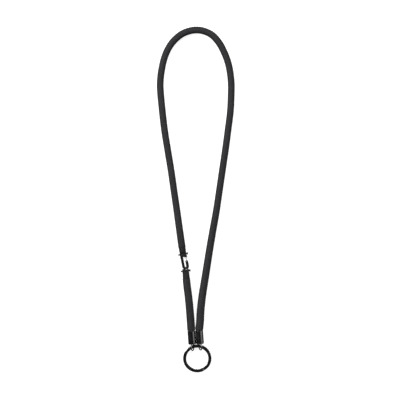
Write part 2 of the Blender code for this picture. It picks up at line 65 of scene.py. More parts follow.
# Cord: the routes are the CAD's own
LONG_ROUTE = [
    (-17.3, 94.5), (-20.5, 117.5), (-24.0, 141.5), (-27.3, 164.5), (-31.1, 187.5), (-34.7, 210.0),
    (-37.4, 233.0), (-39.6, 256.5), (-39.6, 268.0), (-38.3, 279.5), (-35.6, 292.0),
    (-31.6, 302.5), (-25.4, 312.3), (-16.4, 320.5), (-7.3, 324.7), (2.1, 326.2), (11.4, 324.7),
    (20.6, 319.9), (28.6, 310.8), (34.4, 299.8), (38.3, 289.5), (40.6, 279.5), (42.1, 267.5),
    (42.3, 255.5), (41.3, 233.0), (38.5, 210.0), (35.4, 187.0), (32.0, 164.0), (28.6, 141.0),
    (25.1, 117.5), (21.0, 94.5), (17.1, 71.5), (12.6, 43.0), (9.0, 20.5), (6.95, 2.5), (6.25, -10.5),
]
SHORT_ROUTE = [(-8.8, 31.0), (-7.4, 20.5), (-6.3, 10.5), (-5.4, 0.5), (-4.55, -10.5)]
CORD_DIAMETER = 8 * MM
CORD_HALF_WIDE_FAR = 3.95 * MM
CORD_HALF_WIDE_NEAR = 4.6 * MM
CORD_WIDENS_FROM_Y = 130 * MM
CORD_WIDENS_TO_Y = -10 * MM
CORD_FLATNESS = 0.97
CORD_IN_FERRULE_R = 3.3 * MM
CORD_TAPER = 0.8 * MM
CORD_REST_LIFT = 0.05 * MM
CORD_HEIGHT_SMOOTHING = 15
CORD_END_ABOVE_FLOOR = 6.5 * MM

# Braid
STRANDS = 12
FACES_PER_STRAND = 6
BRAID_ANGLE = radians(38)
BRAID_RELIEF = 0.5 * MM
STRAND_WIDE = 2 * pi * 4 * MM / STRANDS
BRAID_CELL = STRAND_WIDE / np.tan(BRAID_ANGLE)
BRAID_STEP = BRAID_CELL / FACES_PER_STRAND
WEAVE_MIDDLE = 0.75
YARN_SHIFT = 7.3

# Ferrules and swivel eyes, measured along their axis from the ferrule's closed end
FERRULE_R = 4.49 * MM
FERRULE_LONG = 15.5 * MM
FERRULE_BORE_R = 3.7 * MM
FERRULE_ROUND = 0.8 * MM
FERRULE_LIP = 0.3 * MM
FERRULE_BORE_DEEP = 6 * MM
CUP_R = 3.5 * MM
CUP_DEEP = 1.9 * MM
EYE_Y = -3.25
EYE_R = 4.0
EYE_WIRE_R = 0.62
SHANK_R = 1.05
SHANK_TOP = 5.1
SHANK_INTO_HEAD = 0.3
HEAD_R = 2.0
HEAD_TOP = 5.9
LEFT_TURN = radians(22)
RIGHT_TURN = radians(-24)

# Split ring: it swings about the line between its two hold points
LEFT_HOLD = Vector((-2.46, -39.8)) * MM
RIGHT_HOLD = Vector((6.5, -39.16)) * MM
RING_OUTER_R = 16.45 * MM
RING_BAND = 3.7 * MM
RING_TURN_THICK = 1.0 * MM
RING_TURN_GAP = 0.1 * MM
RING_SQUARENESS = 2.05
RING_CROWN = 0.04 * MM
RING_STEP_AT = radians(-52)
RING_STEP_HALF = radians(11)
RING_END_GAP = radians(3)
RING_FLOOR_GAP = 0.03 * MM
RING_STATIONS = 420
RING_END_ROUND = 0.35 * MM
RING_END_SHARE = 0.75

# Hook and eye bar, in millimetres in their own leaning frames
HOOK_AT = Vector((-13.35, 67.25, 4.1)) * MM
HOOK_LEAN = radians(11.5)
EYE_BAR_AT = Vector((-10.35, 47.95, 4.1)) * MM
EYE_BAR_LEAN = radians(7.5)
BAR_R = 0.9
BAR_HALF = 5.7
BAR_HEAD_R = 1.45
BAR_HEAD_FROM_X = 4.4
BAR_TIP_LONG = 0.55
BAR_TIP_GROWTH = 0.14
WIRE_WIDE = 3.25
WIRE_THICK = 1.9
SPINE_X = -2.35
NOSE_X = 2.3
STEM_SHARE = 0.52
STEM_TO_Y = -1.3
SHOULDER_Y = -2.2
WEB_Y = -2.65
WEB_WIDE = 1.6
WEB_INSET = 0.1
STEM_INTO_BEND = 0.3
FORK_INTO_ARM = 0.6
BEND_CENTRE = Vector((0.05, -14.3))
BEND_INNER = Vector((0.78, 1.5))
BEND_OUTER = Vector((4.02, 3.45))
BEND_OUTER_SQUARENESS = 2.4
ARM_X = 2.45
ARM_TIP_Y = -8.0
SLOT_HALF = 0.65
SLOT_FLOOR_Y = -10.8
NOSE_TIP_Y = -4.1
LIP_FROM = Vector((3.55, -3.3))
LIP_TO = Vector((3.55, -5.2))
LIP_HALF_WIDE = 0.35
LIP_HALF_THICK = 0.7
PIN_AT = Vector((2.45, -9.0))
GATE_TIP = Vector((2.45, -4.45))
GATE_HALF_WIDE = 0.55
GATE_TAIL_R = 0.75
GATE_TAIL_HALF = 0.45
GATE_BODY_HALF = 0.9
GATE_BODY_FROM = 1.6
GATE_TAIL_INTO_BODY = 0.5
LINK_EYE_AT = Vector((0.69, 2.5))
LINK_EYE_R = 2.1
LINK_EYE_WIRE_R = 0.5
SPRING_HALF_THICK = 0.13
SPRING_HALF_WIDE = 0.4
SPRING_BENDS = [(0.15, -1.4), (-0.75, -1.4), (-1.2, -1.1), (-1.35, -0.4), (-1.2, 0.8), (-0.95, 2.2)]
SPRING_STEP = 0.15

# Cord end loops, from their bar's middle line
LOOP_LONG = 8.6 * MM
LOOP_FROM = 1.2 * MM
LOOP_FLAT_HALF_WIDE = 4.0 * MM
LOOP_FLAT_HALF_THICK = 2.3 * MM
LOOP_END_R = 4.0 * MM
LOOP_FLAT_SQUARENESS = 3.2
LOOP_FRONT_ROUND = 0.7 * MM
LOOP_PINCH = 0.25 * MM
LOOP_PINCH_FROM = 6.5 * MM
LOOP_PINCH_REACH = 4 * MM
TONGUE_LEG = 1.2 * MM
TONGUE_MIDDLE_R = 1.36 * MM
TONGUE_HALF_THICK = 0.23 * MM
FLAP_STEP = 0.15 * MM
FLAP_FRONT_ROUND = 0.4 * MM
STRIP_COLUMNS = 64
STRIP_SQUARENESS = 5
STRIP_RELIEF = BRAID_RELIEF * 0.7
UPPER_LEAN = radians(9)
LOWER_LEAN = radians(5)
UPPER_TONGUES = [(-1.25 * MM, 1.2 * MM)]
UPPER_FLAPS = [(-3.85 * MM, 3.85 * MM, -2.2 * MM)]
LOWER_TONGUES = [(-3.9 * MM, -1.5 * MM), (0.12 * MM, 3.9 * MM)]
LOWER_FLAPS = [
    (-1.6 * MM, 0.2 * MM, 0.25 * MM),
    (-3.85 * MM, -1.5 * MM, -2.2 * MM),
    (0.12 * MM, 3.85 * MM, -2.2 * MM),
]
THREAD_R = 0.14 * MM
THREAD_RISE = 0.9 * THREAD_R
THREAD_DIP = 2.2 * THREAD_R
STITCH_FROM = 2.8 * MM
STITCH_TO = 7.4 * MM
STITCH_ROWS = 15
STITCH_HALF_WIDE = 2.3 * MM
SIDE_STITCH_OUT = 0.45 * MM
SIDE_STITCHES = 4
SIDE_STITCH_AT = (0.1 * MM, 1.05 * MM)
SIDE_STITCH_BEND = 0.1 * MM

# Room: the lights are (name, place, the point it faces, size, watts)
LIGHTS = [
    ("key", (-1.25, 0.5, 1.1), (0, 0.13, 0), (0.8, 0.8), 34),
    ("side_strip", (1.25, 0.05, 0.7), (0, 0.05, 0), (0.6, 1.2), 7),
    ("top_strip", (0.15, 1.2, 1.25), (0, 0, 0), (1.2, 0.5), 26),
]
WORLD_STRENGTH = 0.045
TABLE_GLOW = 0.86
TABLE_HALF_WIDE = 4
TABLE_DROP = 0.2 * MM

JOINTS = {joint["name"]: joint for joint in frame["joints"]}


# ---- Places

def standing(at, lean, turn=0.0):
    """Where a piece is put: leaning in the x-y plane and turned about its own y axis."""
    return Matrix.Translation(at) @ Matrix.Rotation(lean, 4, "Z") @ Matrix.Rotation(turn, 4, "Y")


def ferrule_place(side):
    """(the middle of a ferrule's closed end, its lean), from its eye's swivel joint."""
    swivel = JOINTS[side + "_eye_swivel"]
    outward = Vector(swivel["axis"])
    return Vector(swivel["pos_m"]), atan2(outward.x, -outward.y)


def ring_place():
    """(the ring's place, how far its middle is from the line through both eyes)."""
    swing = JOINTS["ring_swing"]
    axis = Vector(swing["axis"])
    at = Vector(swing["pos_m"])
    middle_r = RING_OUTER_R - RING_BAND / 2
    drop = sqrt(middle_r**2 - ((RIGHT_HOLD - LEFT_HOLD).length / 2) ** 2)
    rise = at.z - RING_TURN_THICK - RING_TURN_GAP / 2 - RING_FLOOR_GAP
    tilt = np.arcsin(rise / (drop + RING_OUTER_R))
    heading = atan2(-axis.y, -axis.x)
    return Matrix.Translation(at) @ Matrix.Rotation(heading, 4, "Z") @ Matrix.Rotation(tilt, 4, "X"), drop


# ---- Materials

def new_material(name, colour, roughness, metallic=0.0, **constants):
    """(material, its node tree, its shader), with the constant values on the shader's own sockets."""
    made = bpy.data.materials.new(name)
    made.use_nodes = True
    shader = made.node_tree.nodes["Principled BSDF"]
    shader.inputs["Base Color"].default_value = (*colour, 1)
    shader.inputs["Roughness"].default_value = roughness
    shader.inputs["Metallic"].default_value = metallic
    for socket, value in constants.items():
        shader.inputs[socket.replace("_", " ")].default_value = value
    return made, made.node_tree, shader


def coordinates(tree, kind, scale):
    """Texture coordinates, Object or UV, stretched by a scale."""
    source = tree.nodes.new("ShaderNodeTexCoord")
    mapping = tree.nodes.new("ShaderNodeMapping")
    mapping.inputs["Scale"].default_value = scale
    tree.links.new(source.outputs[kind], mapping.inputs["Vector"])
    return mapping.outputs["Vector"]


def noise(tree, vector, detail, roughness=0.55):
    made = tree.nodes.new("ShaderNodeTexNoise")
    made.inputs["Scale"].default_value = 1
    made.inputs["Detail"].default_value = detail
    made.inputs["Roughness"].default_value = roughness
    tree.links.new(vector, made.inputs["Vector"])
    return made.outputs["Fac"]


def ramp(tree, factor, stops):
    """A colour or grey that follows a factor. stops are (position, colour) pairs."""
    made = tree.nodes.new("ShaderNodeValToRGB")
    elements = made.color_ramp.elements
    while len(elements) < len(stops):
        elements.new(0.5)
    for element, (position, colour) in zip(elements, stops):
        element.position = position
        element.color = (*colour, 1)
    tree.links.new(factor, made.inputs["Fac"])
    return made.outputs["Color"]


def grey(value):
    return (value, value, value)


def multiplied(tree, first, second):
    made = tree.nodes.new("ShaderNodeMixRGB")
    made.blend_type = "MULTIPLY"
    made.inputs["Fac"].default_value = 1
    tree.links.new(first, made.inputs["Color1"])
    tree.links.new(second, made.inputs["Color2"])
    return made.outputs["Color"]


def bump(tree, shader, height, strength, distance):
    made = tree.nodes.new("ShaderNodeBump")
    made.inputs["Strength"].default_value = strength
    made.inputs["Distance"].default_value = distance
    tree.links.new(height, made.inputs["Height"])
    tree.links.new(made.outputs["Normal"], shader.inputs["Normal"])


def braid_material(name, tone):
    """Black polyester yarn: fine filaments along each strand, painted shade that darkens each strand towards
    its edges, and a slight sheen.
    tone is how light it is, 1 for the cord; below 1 the whole yarn is darkened as painted shade."""
    constants = {"Sheen_Weight": 0.14 * tone, "Sheen_Roughness": 0.4, "Specular_IOR_Level": 0.22 * tone}
    made, tree, shader = new_material(name, grey(0.04), 0.7, **constants)
    filaments = noise(tree, coordinates(tree, "UV", (14, 1.2, 1)), 2)
    clumps = noise(tree, coordinates(tree, "UV", (2.5, 0.35, 1)), 2)
    wear = noise(tree, coordinates(tree, "Object", (60, 60, 60)), 4)
    yarn = ramp(tree, filaments, [(0.3, (0.006, 0.006, 0.0072)), (0.7, (0.023, 0.023, 0.0255))])
    # Random lighter and darker clumps of yarn, all darkened as painted shade when tone is below 1
    clumps_and_painted_shade = ramp(tree, clumps, [(0.25, grey(0.6 * tone)), (0.75, grey(1.3 * tone))])
    dust = ramp(tree, wear, [(0.4, grey(0.9)), (0.75, grey(1.2))])
    coloured = multiplied(tree, multiplied(tree, yarn, clumps_and_painted_shade), dust)
    across = tree.nodes.new("ShaderNodeSeparateXYZ")
    tree.links.new(coordinates(tree, "UV", (1, 1, 1)), across.inputs["Vector"])
    # Painted shade: each strand darkens towards its edges, where it meets its neighbours
    edge, middle = grey(0.35), grey(1)
    painted_strand_shade = ramp(tree, across.outputs["X"], [(0.0, edge), (0.22, middle), (0.78, middle), (1.0, edge)])
    tree.links.new(multiplied(tree, coloured, painted_strand_shade), shader.inputs["Base Color"])
    tree.links.new(ramp(tree, clumps, [(0.2, grey(0.6)), (0.8, grey(0.85))]), shader.inputs["Roughness"])
    bump(tree, shader, filaments, 0.5, 0.08 * MM)
    return made


def thread_material():
    """Black sewing thread with a fine twist."""
    constants = {"Sheen_Weight": 0.05, "Specular_IOR_Level": 0.15}
    made, tree, shader = new_material("sewing_thread", grey(0.03), 0.6, **constants)
    twist = tree.nodes.new("ShaderNodeTexWave")
    twist.bands_direction = "DIAGONAL"
    twist.inputs["Scale"].default_value = 1
    twist.inputs["Distortion"].default_value = 1.5
    tree.links.new(coordinates(tree, "Object", (2200, 2200, 2200)), twist.inputs["Vector"])
    colour = ramp(tree, twist.outputs["Fac"], [(0.2, grey(0.006)), (0.8, grey(0.028))])
    tree.links.new(colour, shader.inputs["Base Color"])
    bump(tree, shader, twist.outputs["Fac"], 0.5, 0.05 * MM)
    return made


def lacquer_material():
    """The ferrules' deep gloss black, with faint swirl marks and a few rubbed places."""
    constants = {"Coat_Weight": 0.25, "Coat_Roughness": 0.12, "Specular_IOR_Level": 0.45}
    made, tree, shader = new_material("gloss_black_lacquer", grey(0.006), 0.28, **constants)
    rubs = noise(tree, coordinates(tree, "Object", (220, 220, 220)), 5, 0.6)
    scratches = noise(tree, coordinates(tree, "Object", (2600, 240, 2600)), 3, 0.7)
    colour = ramp(tree, rubs, [(0.45, (0.003, 0.003, 0.0036)), (0.75, (0.008, 0.008, 0.009))])
    tree.links.new(colour, shader.inputs["Base Color"])
    tree.links.new(ramp(tree, rubs, [(0.4, grey(0.17)), (0.75, grey(0.26))]), shader.inputs["Roughness"])
    bump(tree, shader, scratches, 0.035, 0.02 * MM)
    return made


def plated_material(name, dark, rubbed, metallic):
    """Black plating: dark metal, lighter where it is rubbed."""
    made, tree, shader = new_material(name, grey(dark), 0.25, metallic)
    patches = noise(tree, coordinates(tree, "Object", (330, 330, 330)), 5, 0.6)
    grain = noise(tree, coordinates(tree, "Object", (3800, 3800, 3800)), 2, 0.6)
    colour = ramp(tree, patches, [(0.4, grey(dark)), (0.8, grey(rubbed))])
    tree.links.new(colour, shader.inputs["Base Color"])
    tree.links.new(ramp(tree, patches, [(0.35, grey(0.17)), (0.75, grey(0.3))]), shader.inputs["Roughness"])
    bump(tree, shader, grain, 0.12, 0.02 * MM)
    return made


def steel_material():
    """Bright polished spring steel with fine brushing."""
    made, tree, shader = new_material("bright_steel", grey(0.8), 0.3, 0.9)
    brushed = noise(tree, coordinates(tree, "Object", (5200, 500, 5200)), 3, 0.6)
    tree.links.new(ramp(tree, brushed, [(0.3, grey(0.68)), (0.7, grey(0.92))]), shader.inputs["Base Color"])
    tree.links.new(ramp(tree, brushed, [(0.3, grey(0.24)), (0.7, grey(0.42))]), shader.inputs["Roughness"])
    bump(tree, shader, brushed, 0.1, 0.02 * MM)
    return made


# ---- Mesh tools

def add_object(name, data, surface, place=None):
    made = bpy.data.objects.new(name, data)
    if surface is not None:
        data.materials.append(surface)
    bpy.context.scene.collection.objects.link(made)
    if place is not None:
        made.matrix_world = place
    return made


def tube_mesh(name, points, closed=False, corner_uv=None):
    """A smooth mesh through rows of points, each row a closed ring, with end caps unless it is closed."""
    rows, columns = points.shape[:2]
    first = np.arange(rows if closed else rows - 1)[:, None]
    second = (first + 1) % rows
    column = np.arange(columns)[None, :]
    after = (column + 1) % columns
    first, second = first * columns, second * columns
    corners = [first + column, first + after, second + after, second + column]
    faces = np.stack(np.broadcast_arrays(*corners), axis=-1).reshape(-1, 4).tolist()
    if not closed:
        faces.append(list(range(columns))[::-1])
        faces.append([(rows - 1) * columns + k for k in range(columns)])
    mesh = bpy.data.meshes.new(name)
    mesh.from_pydata(points.reshape(-1, 3).tolist(), [], faces)
    if corner_uv is not None:
        layer = mesh.uv_layers.new(name="yarn")
        values = np.zeros((len(mesh.loops), 2), np.float32)
        values[: len(corner_uv)] = corner_uv
        layer.data.foreach_set("uv", values.ravel())
    shape = bmesh.new()
    shape.from_mesh(mesh)
    bmesh.ops.recalc_face_normals(shape, faces=shape.faces)
    shape.to_mesh(mesh)
    shape.free()
    mesh.shade_smooth()
    return mesh


def smooth_line(points, spacing):
    """Evenly spaced points on a Catmull-Rom curve through the points."""
    ends = [2 * points[0] - points[1], *points, 2 * points[-1] - points[-2]]
    fine = [points[0]]
    steps = 60
    for a, b, c, d in zip(ends, ends[1:], ends[2:], ends[3:]):
        for k in range(1, steps + 1):
            t = k / steps
            curve = 2 * b + (c - a) * t + (2 * a - 5 * b + 4 * c - d) * t * t + (3 * b - a - 3 * c + d) * t**3
            fine.append(0.5 * curve)
    fine = np.array(fine)
    along = distances(fine)
    wanted = np.linspace(0, along[-1], round(along[-1] / spacing) + 1)
    return np.stack([np.interp(wanted, along, fine[:, k]) for k in range(3)], axis=1)


def distances(line):
    steps = np.linalg.norm(np.diff(line, axis=0), axis=1)
    return np.concatenate([[0], np.cumsum(steps)])


def directions(line):
    """(side, up) unit vectors at each point of a line."""
    along = np.gradient(line, axis=0)
    side = np.cross(along, (0, 0, 1))
    side /= np.linalg.norm(side, axis=1)[:, None]
    over = np.cross(side, along)
    over /= np.linalg.norm(over, axis=1)[:, None]
    return side, over


def rounded_power(value, power):
    return np.sign(value) * np.abs(value) ** (2 / power)


# ---- Braid

def weave(around, along):
    """A two-over-two braid, counted in strands round it and crossings along it.
    Returns its height from 0 to 1, and whether the strands that turn right are on top."""
    right, left = around + along, around - along
    i, j = np.floor(right), np.floor(left)
    on_top = (i + j) % 4 < 2
    across = np.where(on_top, right - i, left - j)
    travel = ((i + j) % 2 + np.where(on_top, left - j, right - i)) / 2
    crown = np.sqrt(1 - 0.92 * (2 * across - 1) ** 2)
    return crown * (0.5 + 0.5 * np.sin(pi * travel) ** 0.7), on_top


def yarn_coordinates(around, along):
    """For each face corner, (across its strand from 0 to 1, along its strand).
    around and along hold four corners for each face."""
    right, left = around + along, around - along
    right_strand = np.floor(right.mean(axis=1))[:, None]
    left_strand = np.floor(left.mean(axis=1))[:, None]
    on_top = weave(around.mean(axis=1), along.mean(axis=1))[1][:, None]
    across = np.where(on_top, right - right_strand, left - left_strand)
    travel = np.where(on_top, left, right)
    strand = np.where(on_top, right_strand, left_strand)
    return np.stack([np.clip(across, 0, 1), travel + YARN_SHIFT * strand], axis=-1).reshape(-1, 2)


def braided(name, line, half_wide, half_thick, power, pinch=None):
    """A braided skin round a line, from its half sizes and squareness at each point."""
    columns = STRANDS * FACES_PER_STRAND
    side, over = directions(line)
    turn = 2 * pi * np.arange(columns) / columns
    c, s = np.cos(turn)[None, :], np.sin(turn)[None, :]
    wide, thick, power = (np.broadcast_to(v, len(line))[:, None] for v in (half_wide, half_thick, power))
    x = rounded_power(c, power) * wide
    z = rounded_power(s, power) * thick
    if pinch is not None:
        x = x * (1 - pinch[:, None] / wide * np.abs(c) ** 8)
    out_x, out_z = c * thick, s * wide
    length = np.sqrt(out_x**2 + out_z**2)
    around = np.arange(columns)[None, :] / FACES_PER_STRAND + 0 * wide
    along = distances(line)[:, None] / BRAID_CELL + 0 * c
    height = BRAID_RELIEF * (weave(around, along)[0] - WEAVE_MIDDLE)
    x = x + height * out_x / length
    z = z + height * out_z / length
    points = line[:, None, :] + x[..., None] * side[:, None, :] + z[..., None] * over[:, None, :]
    next_around = around + 1 / FACES_PER_STRAND
    a0, a1 = around[:-1], next_around[:-1]
    l0, l1 = along[:-1], along[1:]
    face_around = np.stack([a0, a1, a1, a0], axis=-1).reshape(-1, 4)
    face_along = np.stack([l0, l0, l1, l1], axis=-1).reshape(-1, 4)
    return tube_mesh(name, points, corner_uv=yarn_coordinates(face_around, face_along))


# ---- Cords

def loop_end(at, lean):
    start = at + LOOP_LONG * Vector((-sin(lean), cos(lean), 0))
    return Vector((start.x, start.y, CORD_DIAMETER / 2))


def cord_line(start, route, side):
    """A cord's middle line and half width at each point, down into its ferrule."""
    end, lean = ferrule_place(side)
    up = Vector((-sin(lean), cos(lean), 0))
    mouth = end + FERRULE_LONG * up
    before = mouth + CORD_TAPER * up
    inside = end + CORD_END_ABOVE_FLOOR * up
    lying = [Vector((x * MM, y * MM, CORD_DIAMETER / 2)) for x, y in route]
    line = smooth_line([np.array(p) for p in (start, *lying, before, mouth, inside)], BRAID_STEP)
    share = np.clip((line[:, 1] - CORD_WIDENS_TO_Y) / (CORD_WIDENS_FROM_Y - CORD_WIDENS_TO_Y), 0, 1)
    half = CORD_HALF_WIDE_NEAR + (CORD_HALF_WIDE_FAR - CORD_HALF_WIDE_NEAR) * share
    from_mouth = (line - np.array(mouth)) @ np.array(up)
    near_ferrule = np.linalg.norm(line[:, :2] - np.array(mouth)[:2], axis=1) < 3 * CORD_DIAMETER
    close = np.where(near_ferrule, np.clip(1 - from_mouth / CORD_TAPER, 0, 1), 0)
    ease = close * close * (3 - 2 * close)
    half = half + (CORD_IN_FERRULE_R - half) * ease
    rest = CORD_FLATNESS * half + CORD_REST_LIFT
    line[:, 2] = np.where(near_ferrule & (from_mouth < CORD_TAPER), np.maximum(rest, line[:, 2]), rest)
    line[:, 2] = smoothed(line[:, 2], CORD_HEIGHT_SMOOTHING)
    return line, half


def smoothed(values, reach):
    """A running mean."""
    padded = np.pad(values, reach, mode="edge")
    return np.convolve(padded, np.ones(2 * reach + 1) / (2 * reach + 1), mode="valid")


def make_cord(name, node, start, route, side, surface):
    line, half = cord_line(start, route, side)
    cord = add_object(name, braided(name, line, half, CORD_FLATNESS * half, 2.0), surface)
    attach(cord, "strap")
    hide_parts(node)
    return cord


def loop_half_size(y):
    """(half width, half thickness, squareness) of a cord end loop at a distance from its bar."""
    share = np.clip((y - LOOP_FROM) / (LOOP_LONG - LOOP_FROM), 0, 1)
    ease = share * share * (3 - 2 * share)
    wide = LOOP_FLAT_HALF_WIDE + (LOOP_END_R - LOOP_FLAT_HALF_WIDE) * ease
    thick = LOOP_FLAT_HALF_THICK + (LOOP_END_R - LOOP_FLAT_HALF_THICK) * ease
    return wide, thick, LOOP_FLAT_SQUARENESS + (2 - LOOP_FLAT_SQUARENESS) * ease


def make_loop_body(name, place, surface):
    """The flattened end of the cord, its two layers pinched together at the sides."""
    y = np.arange(LOOP_LONG, LOOP_FROM, -BRAID_STEP)
    wide, thick, power = loop_half_size(y)
    front = np.clip((y - LOOP_FROM) / LOOP_FRONT_ROUND, 0, 1)
    close = 0.86 + 0.14 * np.sqrt(1 - (1 - front) ** 2)
    pinch = LOOP_PINCH * np.clip((LOOP_PINCH_FROM - y) / LOOP_PINCH_REACH, 0, 1)
    line = np.stack([0 * y, y, 0 * y], axis=1)
    mesh = braided(name, line, wide * close, thick * close, power, pinch=pinch)
    return add_object(name, mesh, surface, place)


def make_tongue(name, low, high, place, surface):
    """The strip of braid that goes round the bar."""
    leg = LOOP_FROM + TONGUE_LEG
    radius = TONGUE_MIDDLE_R
    angles = np.linspace(pi / 2, 3 * pi / 2, 25)
    line = [(0, y, radius) for y in np.linspace(leg, 0.1 * MM, 8)]
    line += [(0, radius * cos(t), radius * sin(t)) for t in angles]
    line += [(0, y, -radius) for y in np.linspace(0.1 * MM, leg, 8)]
    line = np.array(line) + np.array(((low + high) / 2, 0, 0))
    # The line turns in the y-z plane, so the strip's width lies along x
    along = np.gradient(line, axis=0)
    out = np.cross(along, (-1, 0, 0))
    out /= np.linalg.norm(out, axis=1)[:, None]
    mesh = strip(name, line, out, (high - low) / 2, TONGUE_HALF_THICK)
    return add_object(name, mesh, surface, place)


def make_flap(name, side, low_x, high_x, low_y, place, surface):
    """A piece of the cord end's upper or lower layer, which lies over the bar from low_y on."""
    y = np.arange(LOOP_FROM + TONGUE_LEG, low_y, -FLAP_STEP)
    line = np.stack([0 * y + (low_x + high_x) / 2, y, 0 * y + side * TONGUE_MIDDLE_R], axis=1)
    out = np.broadcast_to(np.array((0, 0, 1.0)), line.shape)
    front = np.clip((y - low_y) / FLAP_FRONT_ROUND, 0, 1)
    close = 0.45 + 0.55 * np.sqrt(1 - (1 - front) ** 2)
    mesh = strip(name, line, out, (high_x - low_x) / 2, TONGUE_HALF_THICK * close)
    return add_object(name, mesh, surface, place)


def strip(name, line, out, half_wide, half_thick):
    """A flat braided strip along a line, with its width along x."""
    turn = 2 * pi * np.arange(STRIP_COLUMNS) / STRIP_COLUMNS
    x = rounded_power(np.cos(turn), STRIP_SQUARENESS) * half_wide
    thick = np.broadcast_to(half_thick, len(line))[:, None]
    z = rounded_power(np.sin(turn), STRIP_SQUARENESS)[None, :] * thick
    around = np.broadcast_to(x / STRAND_WIDE, (len(line), STRIP_COLUMNS))
    along = np.broadcast_to((distances(line) / BRAID_CELL)[:, None], around.shape)
    # The weave is on the two flat faces only, and not on the strip's edges
    facing = np.sign(np.sin(turn)) * (np.abs(np.sin(turn)) > 0.2)
    height = STRIP_RELIEF * (weave(around, along)[0] - WEAVE_MIDDLE) * facing
    wide = np.array((1.0, 0, 0))
    points = line[:, None, :] + x[None, :, None] * wide + (z + height)[..., None] * out[:, None, :]
    a0, a1 = around[:-1], np.roll(around, -1, axis=1)[:-1]
    l0, l1 = along[:-1], along[1:]
    face_around = np.stack([a0, a1, a1, a0], axis=-1).reshape(-1, 4)
    face_along = np.stack([l0, l0, l1, l1], axis=-1).reshape(-1, 4)
    return tube_mesh(name, points, corner_uv=yarn_coordinates(face_around, face_along))


def join(objects):
    """The first object with the others' meshes in it. They share a place and a material."""
    shape = bmesh.new()
    for obj in objects:
        shape.from_mesh(obj.data)
    shape.to_mesh(objects[0].data)
    shape.free()
    for obj in objects[1:]:
        bpy.data.objects.remove(obj)
    return objects[0]


def make_end_loop(name, node, place, tongues, flaps, surface):
    parts = [make_loop_body(name, place, surface)]
    for k, flap in enumerate(flaps):
        for side in (-1, 1):
            parts.append(make_flap(f"{name}_flap_{k}_{side}", side, *flap, place, surface))
    for k, (low, high) in enumerate(tongues):
        parts.append(make_tongue(f"{name}_tongue_{k}", low, high, place, surface))
    loop = join(parts)
    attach(loop, "strap")
    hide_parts(node)
    return loop


def make_stitching(name, node, place, surface):
    """A dense zigzag bar tack across the top of a cord end loop, with a run of stitches down each side."""
    curve = bpy.data.curves.new(name, "CURVE")
    curve.dimensions = "3D"
    curve.bevel_depth = THREAD_R
    curve.bevel_resolution = 3
    curve.use_fill_caps = True

    def on_top(x, y):
        wide, thick, power = loop_half_size(np.array(y))
        rise = thick * (1 - abs(x / wide) ** power) ** (1 / power)
        return Vector((x, y, float(rise) + THREAD_RISE))

    def run(points):
        spline = curve.splines.new("POLY")
        spline.points.add(len(points) - 1)
        for spot, point in zip(spline.points, points):
            spot.co = (*point, 1)

    dip = Vector((0, 0, THREAD_DIP))
    step = (STITCH_TO - STITCH_FROM) / STITCH_ROWS
    zigzag = []
    for k in range(STITCH_ROWS + 1):
        direction = 1 if k % 2 else -1
        y = STITCH_FROM + step * k
        start = on_top(direction * STITCH_HALF_WIDE, y)
        zigzag.append(start - dip)
        zigzag.append(start)
        if k < STITCH_ROWS:
            for part in (0.25, 0.5, 0.75):
                zigzag.append(on_top(direction * STITCH_HALF_WIDE * (1 - 2 * part), y + step * part))
    run(zigzag)
    for x in (-STITCH_HALF_WIDE - SIDE_STITCH_OUT, STITCH_HALF_WIDE + SIDE_STITCH_OUT):
        for k in range(SIDE_STITCHES):
            y = STITCH_FROM + (STITCH_TO - STITCH_FROM) * k / SIDE_STITCHES
            low, high = (y + at for at in SIDE_STITCH_AT)
            straight = [on_top(x, low + SIDE_STITCH_BEND), on_top(x, high - SIDE_STITCH_BEND)]
            run([on_top(x, low) - dip, *straight, on_top(x, high) - dip])
    made = add_object(name, curve, surface, place)
    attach(made, "strap")
    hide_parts(node)
    return made


# ---- Ferrules and eyes

def lathe(name, profile, segments=96):
    """A closed (radius, y) outline turned about the y axis."""
    angle = 2 * pi * np.arange(segments) / segments
    radius, y = np.array(profile).T
    x, z = radius * np.cos(angle)[:, None], radius * np.sin(angle)[:, None]
    mesh = tube_mesh(name, np.stack([x, y + 0 * angle[:, None], z], axis=-1), closed=True)
    mesh.set_sharp_from_angle(angle=radians(50))
    return mesh


def arc(centre, radius, start, end, steps):
    """Points of a circle's arc in the (radius, y) plane."""
    turns = np.linspace(start, end, steps + 1)
    return [(centre[0] + radius * cos(t), centre[1] + radius * sin(t)) for t in turns]


def make_ferrule(side, surface):
    at, lean = ferrule_place(side)
    r, long, cut, lip = FERRULE_R, FERRULE_LONG, FERRULE_ROUND, FERRULE_LIP
    profile = [(SHANK_R * MM, CUP_DEEP), (CUP_R, CUP_DEEP)]
    profile += arc((CUP_R + lip, lip), lip, pi, 1.5 * pi, 6)
    profile += arc((r - cut, cut), cut, -pi / 2, 0, 12)
    profile += arc((r - lip, long - lip), lip, 0, pi / 2, 8)
    profile += arc((FERRULE_BORE_R + lip / 2, long - lip / 2), lip / 2, pi / 2, pi, 6)
    floor = long - FERRULE_BORE_DEEP
    profile += [(FERRULE_BORE_R, floor), (SHANK_R * MM, floor)]
    name = side + "_ferrule_shell"
    made = add_object(name, lathe(name, profile), surface, standing(at, lean))
    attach(made, "strap")
    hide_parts(side + "_ferrule")
    return made


